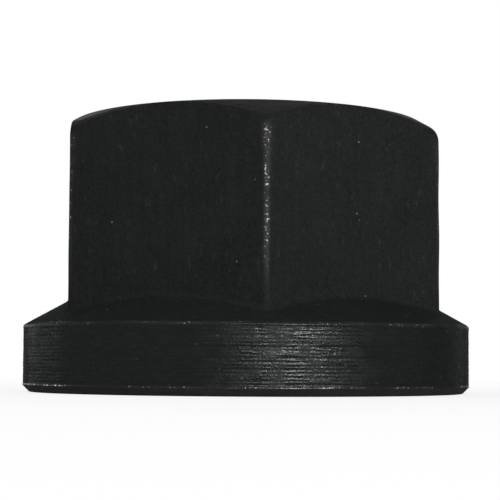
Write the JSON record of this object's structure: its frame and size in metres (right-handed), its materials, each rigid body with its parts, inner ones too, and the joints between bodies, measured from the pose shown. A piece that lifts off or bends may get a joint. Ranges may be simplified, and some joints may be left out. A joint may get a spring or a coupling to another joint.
{
  "type": "hexagon collar nut",
  "caption": "Hexagon nut in blackened steel with a crowned top, a cone down to a round turned collar, a flat bearing face and a threaded through bore.",
  "frame": {"origin": "centre of the bearing face, on the axis of the thread", "axes": "+Z along the thread from the bearing face to the crowned top, X across a pair of flats, Y across a pair of corners"},
  "size_m": [0.034, 0.034, 0.0205],
  "materials": {
    "blackened_steel": "black oxide, forged flats and a turned collar, lightly oiled"
  },
  "bodies": {
    "root": {"collar_nut": "blackened_steel"}
  },
  "joints": []
}
